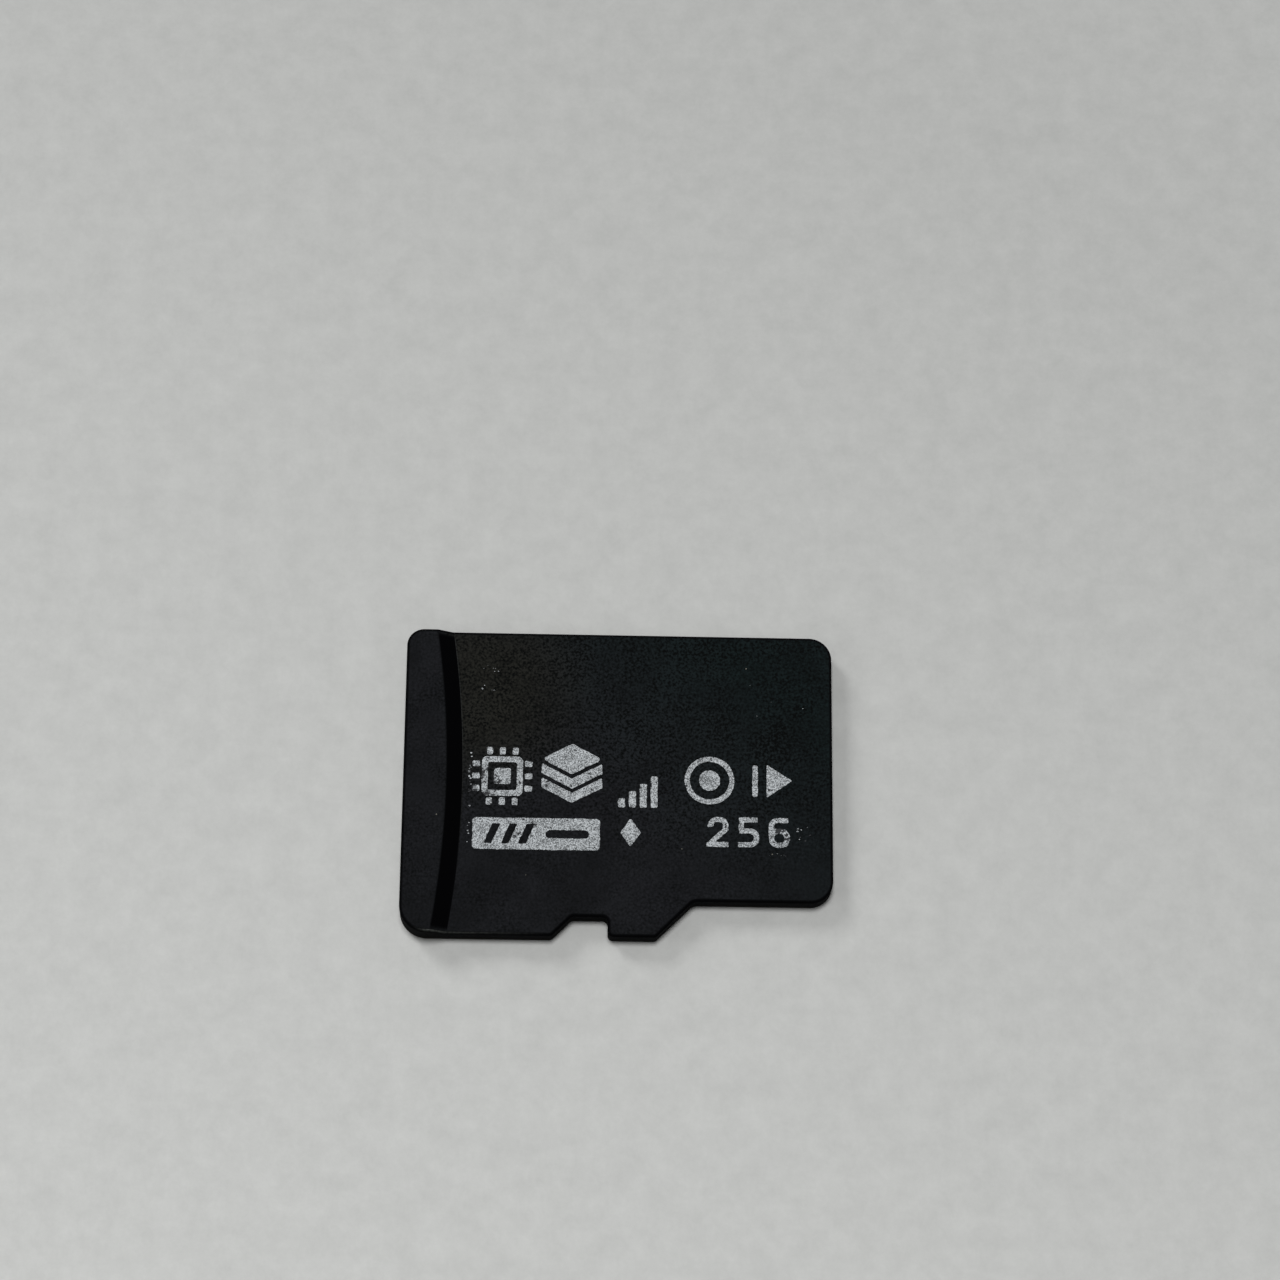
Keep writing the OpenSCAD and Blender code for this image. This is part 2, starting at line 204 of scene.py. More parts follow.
def add_piece(name, points, faces, material, slot, flat_faces=()):
    """Makes a piece at the origin from an array of points in metres and a list of faces."""
    mesh = bpy.data.meshes.new(name)
    mesh.from_pydata(np.asarray(points, float).tolist(), [], [list(map(int, face)) for face in faces])
    smooth = np.ones(len(mesh.polygons), bool)
    smooth[list(flat_faces)] = False
    mesh.polygons.foreach_set("use_smooth", smooth)
    mesh.materials.append(material)
    mesh.update()
    piece = bpy.data.objects.new(name, mesh)
    bpy.context.scene.collection.objects.link(piece)
    if slot:
        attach(piece, BODY)
    return piece


def unit(vector):
    """The vector at a length of 1."""
    return vector / np.linalg.norm(vector)


def rounded_loop(corners, step=math.radians(5), stations=None):
    """Points and outward normals of a closed outline whose corners are arcs.

    A corner (x, y, r) gets the arc centre + r * (cos a, sin a), where the centre lies on the corner's
    bisector at r from both edges, and a runs between the two points of tangency. A corner that turns
    inwards has its centre outside, so its normals point at the centre. stations holds extra points
    for the straight edge after a corner. Returns the points, the normals, and the indices of each
    corner's stations.
    """
    corners = np.asarray(corners, float)
    places = corners[:, :2]
    points, normals, marks, count = [], [], {}, 0
    for i, (place, r) in enumerate(zip(places, corners[:, 2])):
        back, ahead = unit(places[i - 1] - place), unit(places[(i + 1) % len(places)] - place)
        half = math.acos(np.clip(back @ ahead, -1, 1)) / 2
        centre = place + unit(back + ahead) * r / math.sin(half)
        reach = r / math.tan(half)
        first, last = place + back * reach - centre, place + ahead * reach - centre
        sweep = math.atan2(first[0] * last[1] - first[1] * last[0], first @ last)
        chords = max(2, math.ceil(abs(sweep) / step))
        turns = math.atan2(first[1], first[0]) + sweep * np.linspace(0, 1, chords + 1)
        rays = np.stack([np.cos(turns), np.sin(turns)], 1)
        points.append(centre + r * rays)
        normals.append(rays * math.copysign(1, sweep))
        count += len(rays)
        if stations and i in stations:
            extra = np.asarray(stations[i], float)
            points.append(extra)
            normals.append(np.tile([ahead[1], -ahead[0]], (len(extra), 1)))
            marks[i] = np.arange(count, count + len(extra))
            count += len(extra)
    return np.concatenate(points), np.concatenate(normals), marks


def rib_section(shape, rib_z):
    """Offsets and heights across the rib's sloped face, from the plate up to the crest.

    The offset is 0 at the sharp foot of the slope and falls towards the back. The foot fillet is
    centre - r * (sin a, cos a) and the crest is centre + r * (sin a, cos a), with a between 0 and
    the angle of the slope. A short flat at each end keeps the shading of the plate flat.
    """
    rise = rib_z - shape.plate_z
    slope = math.atan2(rise, shape.rib_run)
    turns = np.linspace(0, slope, ROUND_POINTS)
    tangent = math.tan(slope / 2)
    foot = shape.rib_foot_r * np.stack([tangent - np.sin(turns), 1 - np.cos(turns)], 1)
    crest = shape.rib_crest_r * np.stack([np.sin(turns) - tangent, np.cos(turns) - 1], 1)[::-1]
    crest += [-shape.rib_run, rise]
    flat = np.array([FLAT, 0])
    section = np.concatenate([[foot[0] + flat], foot, crest, [crest[-1] - flat]])
    return section[:, 0], section[:, 1] + shape.plate_z


def card_corners(shape):
    """The corners of the card's outline, anticlockwise from the front one on the straight side."""
    front, side = CAP_HIGH.x, CAP_HIGH.y
    back, wide = CAP_LOW.x, CAP_LOW.y
    nose = wide + shape.nose_step
    floor_y = wide + shape.notch_depth
    wall_x = front - shape.notch_front
    ramp_x = wall_x - shape.notch_floor
    tab_x = front - shape.tab_front
    return [
        (front, side, shape.front_r),
        (back, side, shape.back_r),
        (back, wide, shape.back_notched_r),
        (ramp_x - shape.notch_depth, wide, shape.notch_r),
        (ramp_x, floor_y, shape.notch_r),
        (wall_x, floor_y, shape.notch_r),
        (wall_x, wide, shape.notch_r),
        (tab_x, wide, shape.notch_r),
        (tab_x + shape.nose_step, nose, shape.shoulder_r),
        (front, nose, shape.front_r),
    ]


def cap_surface(shape):
    """The closed surface of the cap: points, faces, the flat faces, and two amounts at each point.

    The amounts are the skin and the painted highlight. The skin is 0 on the grained faces, 0.5 on the walls
    and 1 on the slope, and it falls from 1 across the rounded edge; besides taking the grain away, it paints
    shade there, darkening the walls, the rounded edge and the slope. The painted highlight is a bell over x
    on the rounded edge at the notched side, with its middle on the rib. Along the foot of the slope it is
    faint, and fades toward that side.

    An edge profile (straight wall, quarter round, short flat) is carried along the outline: a point
    is outline - inset * normal, at the local top height less the profile's drop. The rib's slope is a
    grid of two parameters, the place in its section and y, with x = arc centre +
    sqrt((arc radius + offset) squared - y squared). Flat lids close the plate, the rib and the base.
    """
    edge_fade = 0.6  # share of the skin that is lost across the rounded edge
    # Where the painted highlight on the rib's edge peaks, and how far it reaches ahead and behind.
    glint_middle, glint_ahead, glint_behind = 0.7, 0.5, 0.2  # shares of the crest's way from the back edge
    foot_glint_most, foot_glint_shift = 0.5, 0.6  # strength, and where on the width it ends
    row_count = 81
    base_z, rib_z = CAP_LOW.z, CAP_HIGH.z
    offsets, heights = rib_section(shape, rib_z)
    inset = shape.edge_r + FLAT
    side = CAP_HIGH.y - inset
    arc_x = CAP_LOW.x + shape.rib_crest + shape.rib_run - shape.rib_arc_r
    side_x = arc_x + np.sqrt((shape.rib_arc_r + offsets) ** 2 - side ** 2)
    straight = np.stack([side_x, np.full_like(side_x, CAP_HIGH.y)], 1)
    notched = np.stack([side_x, np.full_like(side_x, CAP_LOW.y)], 1)[::-1]
    outline, normals, marks = rounded_loop(card_corners(shape), stations={0: straight, 2: notched})
    count = len(outline)
    tops = np.full(count, shape.plate_z)
    tops[marks[0][-1]:marks[2][0]] = rib_z
    tops[marks[0]] = heights
    tops[marks[2]] = heights[::-1]

    turns = np.linspace(0, math.pi / 2, ROUND_POINTS)
    insets = np.concatenate([[0], shape.edge_r * (1 - np.cos(turns)), [inset]])
    drops = np.concatenate([[0], shape.edge_r * (1 - np.sin(turns)), [0]])
    rings = outline[None] - insets[:, None, None] * normals[None]
    ring_z = tops[None] - drops[:, None]
    ring_z[0] = base_z
    points = [np.concatenate([rings, ring_z[..., None]], 2).reshape(-1, 3)]
    ring_count = len(insets)
    # The skin paints shade: the rounded edge takes the slope's near-black, fading toward the flat, and the
    # walls take the wall colour.
    ring_skin_and_shade = np.concatenate([[0.5, 0.5], 1 - edge_fade * (turns[1:] / turns[-1]) ** 3, [0]])
    skin_and_shade = [np.repeat(ring_skin_and_shade, count)]
    # A painted highlight along the upper half of the rounded edge, strongest over the rib on the notched
    # side.
    ring_glint = np.concatenate([[0, 0], np.sin(turns[1:]) ** 2 * (turns[1:] < turns[-1]), [0]])
    from_thumb = (outline[:, 0] - CAP_LOW.x) / shape.rib_crest - glint_middle
    from_thumb /= np.where(from_thumb > 0, glint_ahead, glint_behind)
    near_glint = np.exp(-from_thumb ** 2) * (outline[:, 1] < 0)
    painted_glint = [np.outer(ring_glint, near_glint).ravel()]

    rows = np.linspace(-side, side, row_count)
    inner_rows = rows[1:-1]
    grid_x = arc_x + np.sqrt((shape.rib_arc_r + offsets[:, None]) ** 2 - inner_rows[None] ** 2)
    grid_y = np.broadcast_to(inner_rows[None], grid_x.shape)
    grid_z = np.broadcast_to(heights[:, None], grid_x.shape)
    points.append(np.stack([grid_x, grid_y, grid_z], 2).reshape(-1, 3))
    crest = len(heights) - 1 - np.arange(len(heights))
    # Painted shade on the slope, full from the foot up to the crest's rounding and gone at its top; the flat
    # at the foot takes none.
    slope_skin_and_shade = np.minimum(1, crest / ROUND_POINTS) ** 2
    slope_skin_and_shade[0] = 0
    skin_and_shade.append(np.repeat(slope_skin_and_shade, len(inner_rows)))
    # A faint painted highlight along the foot of the slope, fading toward the notched side.
    foot_glint = np.zeros(grid_x.shape)
    foot_glint[1] = foot_glint_most * np.clip(foot_glint_shift + inner_rows / side, 0, 1)
    painted_glint.append(foot_glint.ravel())

    index = np.arange(ring_count * count).reshape(ring_count, count)
    here, along = index, np.roll(index, -1, 1)
    walls = np.stack([here[:-1], along[:-1], along[1:], here[1:]], 2).reshape(-1, 4)
    inner = index[-1]
    middle = ring_count * count + np.arange(grid_x.size).reshape(grid_x.shape)
    strip = np.concatenate([inner[marks[2]][::-1, None], middle, inner[marks[0]][:, None]], 1)
    slope = np.stack([strip[:-1, :-1], strip[:-1, 1:], strip[1:, 1:], strip[1:, :-1]], 2).reshape(-1, 4)
    base_lid = index[0][::-1]
    plate_lid = np.concatenate([
        inner[marks[2][-1]:], inner[:marks[0][0] + 1], strip[0, -2:0:-1]
    ])
    rib_lid = np.concatenate([inner[marks[0][-1]:marks[2][0] + 1], strip[-1, 1:-1]])
    faces = [*walls, *slope, base_lid, plate_lid, rib_lid]
    flat_faces = [len(walls) + len(slope)]
    amounts = {"skin_and_shade": np.concatenate(skin_and_shade), "painted_glint": np.concatenate(painted_glint)}
    return np.concatenate(points), faces, flat_faces, amounts


def ink_field(loops, low, high):
    """A flat field of ink between two heights: its lid fills the loops, its walls drop straight down.

    The first loop runs anticlockwise and any further one is a hole. Each wall is the loop times the
    two heights, and the lids are the same triangles at both heights, turned over below. They are
    found in millimetres, because lengths in metres are too small for the tessellator.
    """
    flat = np.concatenate(loops)
    count = len(flat)
    lids = np.array(tessellate_polygon([[(x, y, 0) for x, y in loop / MM] for loop in loops]))
    corner = flat[lids]
    turned = np.cross(corner[:, 1] - corner[:, 0], corner[:, 2] - corner[:, 0]) < 0
    lids[turned] = lids[turned][:, ::-1]
    walls, start = [], 0
    for loop in loops:
        ahead = np.roll(loop, -1, 0)
        area = np.sum(loop[:, 0] * ahead[:, 1] - loop[:, 1] * ahead[:, 0])
        here = start + np.arange(len(loop))
        along = np.roll(here, -1)
        if (area > 0) != (start == 0):
            here, along = along, here
        walls.append(np.stack([here, along, along + count, here + count], 1))
        start += len(loop)
    points = np.concatenate([
        np.column_stack([flat, np.full(count, low)]),
        np.column_stack([flat, np.full(count, high)]),
    ])
    return points, [*lids[:, ::-1], *(lids + count), *np.concatenate(walls)]


def joined(fields):
    """Several fields of ink as one list of points and faces."""
    points, faces, start = [], [], 0
    for field_points, field_faces in fields:
        points.append(field_points)
        faces += [np.asarray(face) + start for face in field_faces]
        start += len(field_points)
    return np.concatenate(points), faces


# Outlines of the marks, in millimetres on the plate

def box_loop(x0, y0, x1, y1, r):
    """A rectangle with round corners."""
    corners = [(x1, y1, r), (x0, y1, r), (x0, y0, r), (x1, y0, r)]
    return rounded_loop(corners, step=math.radians(12))[0]


def polygon_loop(corners, r):
    """A polygon with round corners."""
    return rounded_loop([(x, y, r) for x, y in corners], step=math.radians(15))[0]


def circle_loop(x, y, r, count=72):
    """A circle: (x, y) + r * (cos a, sin a)."""
    turns = np.linspace(0, 2 * math.pi, count, endpoint=False)
    return np.stack([x + r * np.cos(turns), y + r * np.sin(turns)], 1)


def chip_sign():
    """A square chip seen from above: a bold frame, a middle square and three pins on each side."""
    x, y = -4.05, 0.2
    half, stroke, core = 0.72, 0.21, 0.29
    pin_pitch, pin_width, pin_end, pin_gap = 0.45, 0.21, 1.05, 0.06
    marks = [
        [box_loop(x - half, y - half, x + half, y + half, 0.2),
         box_loop(x - half + stroke, y - half + stroke, x + half - stroke, y + half - stroke, 0.08)],
        [box_loop(x - core, y - core, x + core, y + core, 0.06)],
    ]
    for step in (-pin_pitch, 0, pin_pitch):
        for side in (-1, 1):
            near, far = sorted((side * (half + pin_gap), side * pin_end))
            low, high = step - pin_width / 2, step + pin_width / 2
            marks.append([box_loop(x + near, y + low, x + far, y + high, 0.05)])
            marks.append([box_loop(x + low, y + near, x + high, y + far, 0.05)])
    return marks


def layer_sign():
    """Three stacked layers seen from a corner: a solid rhombus and two bent bands below it."""
    x, top, half, depth, band, pitch = -1.62, 1.42, 1.06, 0.56, 0.36, 0.52
    rhombus = [(x + half, top - depth), (x, top), (x - half, top - depth), (x, top - 2 * depth)]
    marks = [[polygon_loop(rhombus, 0.09)]]
    for layer in (1, 2):
        low = top - 2 * depth - layer * pitch
        marks.append([polygon_loop([
            (x - half, low + depth), (x, low), (x + half, low + depth), (x + half, low + depth + band),
            (x, low + band), (x - half, low + depth + band),
        ], 0.03)])
    return marks


def band_sign():
    """A long solid band with slanted bars and a capsule left open in it."""
    left, right, low, high = -5.05, -0.62, -2.45, -1.31
    middle = (low + high) / 2
    bar_width, bar_half, lean = 0.28, 0.36, 0.3
    capsule_left, capsule_right, capsule_half = -2.5, -1.0, 0.15
    holes = []
    for x in (-4.66, -4.06, -3.46):
        holes.append(polygon_loop([
            (x, middle - bar_half), (x + bar_width, middle - bar_half),
            (x + bar_width + lean, middle + bar_half), (x + lean, middle + bar_half),
        ], 0.03))
    holes.append(box_loop(capsule_left, middle - capsule_half, capsule_right, middle + capsule_half, 0.14))
    return [[box_loop(left, low, right, high, 0.12), *(hole[::-1] for hole in holes)]]


def level_sign():
    """Four bars that rise like a level meter."""
    left, low, pitch, width = 0.0, -0.87, 0.38, 0.24
    shortest, rise = 0.33, 0.27
    return [
        [box_loop(left + i * pitch, low, left + i * pitch + width, low + shortest + rise * i, 0.05)]
        for i in range(4)
    ]


def diamond_sign():
    """A solid diamond."""
    x, y, width, height = 0.45, -1.78, 0.36, 0.52
    return [[polygon_loop([(x + width, y), (x, y + height), (x - width, y), (x, y - height)], 0.05)]]


def ring_sign():
    """A ring round a solid disc."""
    x, y, outer, inner, disc = 3.19, 0.16, 0.87, 0.69, 0.37
    return [[circle_loop(x, y, outer), circle_loop(x, y, inner)[::-1]], [circle_loop(x, y, disc)]]


def arrow_sign():
    """The bar and arrowhead that show which way the card goes in."""
    return [
        [box_loop(4.69, -0.41, 4.88, 0.74, 0.05)],
        [polygon_loop([(6.08, 0.2), (5.19, 0.77), (5.19, -0.44)], 0.03)],
    ]


def number_sign(scale):
    """A plain number in block figures, each a polygon whose corners are arcs, with any hole after it."""
    thin, wide, inner = 0.01, 0.32, 0.14
    two = [(
        (0.04, 0, thin), (0.8, 0, thin), (0.8, 0.18, thin), (0.34, 0.18, thin), (0.8, 0.6, 0.18),
        (0.8, 1.08, wide), (0.08, 1.08, wide), (0.08, 0.72, thin), (0.27, 0.72, thin),
        (0.27, 0.9, inner), (0.61, 0.9, inner), (0.61, 0.66, 0.1), (0.04, 0.14, thin),
    )]
    five = [(
        (0.06, 0, thin), (0.8, 0, wide), (0.8, 0.68, wide), (0.27, 0.68, thin), (0.27, 0.9, thin),
        (0.74, 0.9, thin), (0.74, 1.08, thin), (0.09, 1.08, thin), (0.09, 0.5, thin),
        (0.61, 0.5, inner), (0.61, 0.18, inner), (0.06, 0.18, thin),
    )]
    six = [(
        (0.06, 0, wide), (0.8, 0, wide), (0.8, 0.68, wide), (0.25, 0.68, thin), (0.25, 0.9, inner),
        (0.74, 0.9, thin), (0.74, 1.08, thin), (0.06, 1.08, wide),
    ), ((0.25, 0.18, inner), (0.61, 0.18, inner), (0.61, 0.5, inner), (0.25, 0.5, inner))]
    left, low, pitch = 3.06, -2.24, 1.07
    marks = []
    for place, figure in enumerate((two, five, six)):
        shift = (left + place * pitch * scale, low)
        marks.append([rounded_loop(corners, step=math.radians(12))[0] * scale + shift for corners in figure])
    return marks


def fleck_sign(draw):
    """Stray flecks of ink: uneven little loops scattered about a few places.

    A fleck is its middle + reach * (cos a, squash * sin a), with a reach of its own at each corner.
    """
    corners = 9
    patches = [  # middle x and y, spread in x and y, count, largest radius
        (-5.17, 0.3, 0.05, 0.8, 18, 0.055),
        (-5.2, -1.75, 0.04, 0.35, 6, 0.04),
        (6.45, -1.75, 0.5, 0.3, 9, 0.045),
        (5.6, -2.5, 0.5, 0.1, 5, 0.025),
        (-4.5, 4.15, 0.25, 0.15, 7, 0.03),
        (-4.6, 3.2, 0.4, 0.3, 4, 0.045),
        (4.9, 2.9, 1.2, 0.8, 4, 0.02),
    ]
    marks = []
    for x, y, wide, high, count, largest in patches:
        for _ in range(count):
            middle = np.array([x, y]) + draw.normal(0, 0.5, 2) * [wide, high]
            reach = largest * draw.uniform(0.35, 1) * draw.uniform(0.55, 1, corners)
            turns = np.linspace(0, 2 * math.pi, corners, endpoint=False)
            rays = np.stack([np.cos(turns), np.sin(turns) * draw.uniform(0.5, 1)], 1)
            marks.append([middle + reach[:, None] * rays])
    return marks


def wandering(loop, wander, draw):
    """A loop with even steps, whose points move along its normal by a smoothed random distance.

    This is the edge that pad printing leaves on a grained surface. wander is in millimetres.
    """
    step, fewest = 0.04, 8
    keep = 2.5  # about the root of 1 + 4 + 1, so that the smoothing keeps the spread
    closed = np.vstack([loop, loop[:1]])
    run = np.concatenate([[0], np.cumsum(np.linalg.norm(np.diff(closed, axis=0), axis=1))])
    count = max(fewest, round(run[-1] / step))
    at = np.linspace(0, run[-1], count, endpoint=False)
    even = np.stack([np.interp(at, run, closed[:, axis]) for axis in (0, 1)], 1)
    along = np.roll(even, -1, 0) - np.roll(even, 1, 0)
    normal = np.stack([along[:, 1], -along[:, 0]], 1) / np.linalg.norm(along, axis=1)[:, None]
    stray = draw.normal(0, wander, count)
    stray = (np.roll(stray, 1) + 2 * stray + np.roll(stray, -1)) / keep
    return even + normal * stray[:, None]


def print_piece(name, marks, material):
    """One printed piece from its marks, whose loops are in millimetres on the plate."""
    low = bpy.context.scene.card_shape.plate_z
    high = low + bpy.context.scene.card_print.thickness
    points, faces = joined(ink_field([loop * MM for loop in loops], low, high) for loops in marks)
    return add_piece(name, points, faces, material, "mould_compound", range(len(faces)))


# Materials

def add_node(tree, kind, inputs=(), **settings):
    """Adds one node, sets its properties, and gives its inputs values or links.

    kind is the type's name without ShaderNode. inputs is a list in the order of the node's live
    sockets, or a dictionary by their names. A node among them stands for its first live output.
    """
    made = tree.nodes.new("ShaderNode" + kind)
    for name, value in settings.items():
        setattr(made, name, value)
    sockets = [socket for socket in made.inputs if socket.enabled]
    if isinstance(inputs, dict):
        by_name = {socket.name: socket for socket in sockets}
        sockets = [by_name[name] for name in inputs]
        inputs = inputs.values()
    for socket, value in zip(sockets, inputs):
        if isinstance(value, bpy.types.Node):
            value = next(output for output in value.outputs if output.enabled)
        if isinstance(value, bpy.types.NodeSocket):
            tree.links.new(value, socket)
        else:
            socket.default_value = value
    return made


def start_material(name):
    """An empty node material. Returns the material, its tree, and the place on the object."""
    material = bpy.data.materials.new(name)
    material.use_nodes = True
    tree = material.node_tree
    tree.nodes.clear()
    return material, tree, add_node(tree, "TexCoord").outputs["Object"]


def finish_material(tree, **inputs):
    """Adds the surface shader, with named sockets set or linked, and the output."""
    surface = add_node(tree, "BsdfPrincipled", {
        name.replace("_", " "): value for name, value in inputs.items()
    })
    add_node(tree, "OutputMaterial", [surface])


def rgba(value):
    """A colour with full opacity, as a colour socket takes it."""
    return (*value, 1)


def grain_spread(tree, look, place, grain, cloud):
    """Nodes for the tone of the grained faces, 0 in the pits of the grain and 1 on its peaks.

    The tone is the grain, less its mean, times its contrast, plus a share of a broad cloud. The
    contrast is low on the rib and toward the notched side, and it varies in soft patches.
    """
    strong, weak = 1.4, 0.55
    handled_y, fresh_y = -3 * MM, 0.5 * MM
    cloud_share, patch_width = 0.25, 18 * look.grain
    y, z = add_node(tree, "SeparateXYZ", [place]).outputs[1:]
    on_rib = add_node(tree, "MapRange", {
        "Value": z, "From Min": SLOPE_LOW, "From Max": SLOPE_HIGH, "To Min": strong, "To Max": weak
    })
    handled = add_node(tree, "MapRange", {
        "Value": y, "From Min": handled_y, "From Max": fresh_y, "To Min": weak, "To Max": strong
    })
    limit = add_node(tree, "Math", [on_rib, handled], operation="MINIMUM")
    bloom = add_node(tree, "TexNoise", {"Vector": place, "Scale": 1 / patch_width, "Detail": 2})
    uneven = add_node(tree, "MapRange", {
        "Value": bloom, "From Min": 0.35, "From Max": 0.65, "To Min": 0.6, "To Max": 1.3
    })
    contrast = add_node(tree, "Math", [limit, uneven], operation="MULTIPLY")
    centred = add_node(tree, "Math", [grain, 0.5], operation="SUBTRACT")
    sharp = add_node(tree, "Math", [centred, contrast], operation="MULTIPLY")
    level = add_node(tree, "Math", [cloud, cloud_share, sharp], operation="MULTIPLY_ADD")
    return add_node(tree, "MapRange", {"Value": level, "From Min": -0.045, "From Max": 0.295})


def grain_peaks(tree, look, place, cloud):
    """Nodes for the colour on the grain's peaks: cool toward the contact edge, warm near a back corner.

    The cool cast grows along X + 1.1 Y, a little disturbed by the cloud. The warm one fades with the
    distance from a place on the plate, and stops at the rib.
    """
    cool_from, cool_to, cool_stray = 1 * MM, 11 * MM, 4 * MM
    warm_place = (CAP_LOW.x + 2.6 * MM, CAP_HIGH.y - 2.1 * MM, bpy.context.scene.card_shape.plate_z)
    warm_reach, warm_heart = 4.6 * MM, 1.2 * MM
    across = add_node(tree, "VectorMath", [place, (1, 1.1, 0)], operation="DOT_PRODUCT")
    drift = add_node(tree, "Math", [cloud, cool_stray, across], operation="MULTIPLY_ADD")
    toward_front = add_node(tree, "MapRange", {"Value": drift, "From Min": cool_from, "From Max": cool_to})
    neutral = add_node(tree, "Mix", [toward_front, rgba(look.light), rgba(look.cool)], data_type="RGBA")
    away = add_node(tree, "VectorMath", [place, warm_place], operation="DISTANCE")
    warmth = add_node(tree, "MapRange", {
        "Value": away, "From Min": warm_reach, "From Max": warm_heart
    }, interpolation_type="SMOOTHSTEP")
    height = add_node(tree, "SeparateXYZ", [place]).outputs["Z"]
    off_rib = add_node(tree, "MapRange", {"Value": height, "From Min": SLOPE_HIGH, "From Max": SLOPE_LOW})
    browned = add_node(tree, "Math", [warmth, off_rib], operation="MULTIPLY")
    return add_node(tree, "Mix", [browned, neutral, rgba(look.warm)], data_type="RGBA")


def dust_specks(tree, look, place):
    """Nodes that are 1 on a speck and 0 elsewhere: the middles of a few cells picked by chance."""
    cell, picked, reach = 5 * look.grain, 0.93, 0.05  # reach is a share of the cell
    cells = add_node(tree, "TexVoronoi", {"Vector": place, "Scale": 1 / cell, "Randomness": 1})
    chance = add_node(tree, "SeparateColor", [cells.outputs["Color"]]).outputs["Red"]
    rare = add_node(tree, "Math", [chance, picked], operation="GREATER_THAN")
    near = add_node(tree, "Math", [cells.outputs["Distance"], reach], operation="LESS_THAN")
    return add_node(tree, "Math", [rare, near], operation="MULTIPLY")


def mould_compound(look):
    """Epoxy mould compound: carbon-black resin full of silica, from a spark-eroded mould.

    The grain gives a dry black with a fine light and dark mottle, which is softer where the card is
    handled. Its cast is a little warm near one back corner and cool toward the contact edge. The
    slope and the rounded edge have no grain, as a resin-rich skin covers the silica there; their dead black
    is painted shade. The walls are cut, and fine upright ridges cross them; their colour, darker than the
    plate's, is partly painted shade. A painted highlight in streaks lies along the rib's edge and the slope's
    foot.
    """
    cloud_width, ridge_width, ridge_stretch = 14 * look.grain, 0.05 * MM, 0.12
    material, tree, place = start_material("epoxy mould compound")
    skin_and_shade = add_node(tree, "Attribute", attribute_name="skin_and_shade").outputs["Fac"]
    painted_glint = add_node(tree, "Attribute", attribute_name="painted_glint").outputs["Fac"]
    grain = add_node(tree, "TexNoise", {
        "Vector": place, "Scale": 1 / look.grain, "Detail": 3, "Roughness": 0.62
    })
    cloud = add_node(tree, "TexNoise", {"Vector": place, "Scale": 1 / cloud_width, "Detail": 2})
    spread = grain_spread(tree, look, place, grain, cloud)
    peaks = grain_peaks(tree, look, place, cloud)
    plate = add_node(tree, "Mix", [spread, rgba(look.dark), peaks], data_type="RGBA")
    speck = dust_specks(tree, look, place)
    specked = add_node(tree, "Mix", [speck, plate, rgba(look.dust)], data_type="RGBA")
    upright = add_node(tree, "Mapping", {"Vector": place, "Scale": (1, 1, ridge_stretch)})
    ridges = add_node(tree, "TexNoise", {"Vector": upright, "Scale": 1 / ridge_width, "Detail": 2})
    ridge = add_node(tree, "MapRange", {"Value": ridges, "From Min": 0.3, "From Max": 0.7, "To Min": 0.25})
    # Painted shade: the walls mix the wall colour with the slope's near-black, and the rounded edge and the
    # slope go over to the near-black.
    cut = add_node(tree, "Mix", [ridge, rgba(look.slope), rgba(look.wall)], data_type="RGBA")
    to_wall = add_node(tree, "MapRange", {"Value": skin_and_shade, "From Max": 0.5})
    walled = add_node(tree, "Mix", [to_wall, specked, cut], data_type="RGBA")
    to_slope = add_node(tree, "MapRange", {"Value": skin_and_shade, "From Min": 0.5})
    sloped = add_node(tree, "Mix", [to_slope, walled, rgba(look.slope)], data_type="RGBA")
    # Painted highlight in streaks along the rib's edge and the slope's foot.
    streak = add_node(tree, "MapRange", {"Value": grain, "From Min": 0.3, "From Max": 0.6, "To Min": 0.3})
    wear_and_glint = add_node(tree, "Math", [painted_glint, streak], operation="MULTIPLY")
    body = add_node(tree, "Mix", [wear_and_glint, sloped, rgba(look.painted_glint_colour)], data_type="RGBA")
    roughness = add_node(tree, "MapRange", {
        "Value": skin_and_shade, "From Max": 0.5, "To Min": look.roughness, "To Max": 1.0
    })
    strength = add_node(tree, "MapRange", {"Value": skin_and_shade, "To Min": 1.0, "To Max": 0.1})
    relief = add_node(tree, "Mix", [to_wall, grain, ridges], data_type="FLOAT")
    bump = add_node(tree, "Bump", {"Height": relief, "Strength": strength, "Distance": look.depth})
    finish_material(
        tree, Base_Color=body, Roughness=roughness, Normal=bump, IOR=1.5, Specular_IOR_Level=0.03
    )
    return material


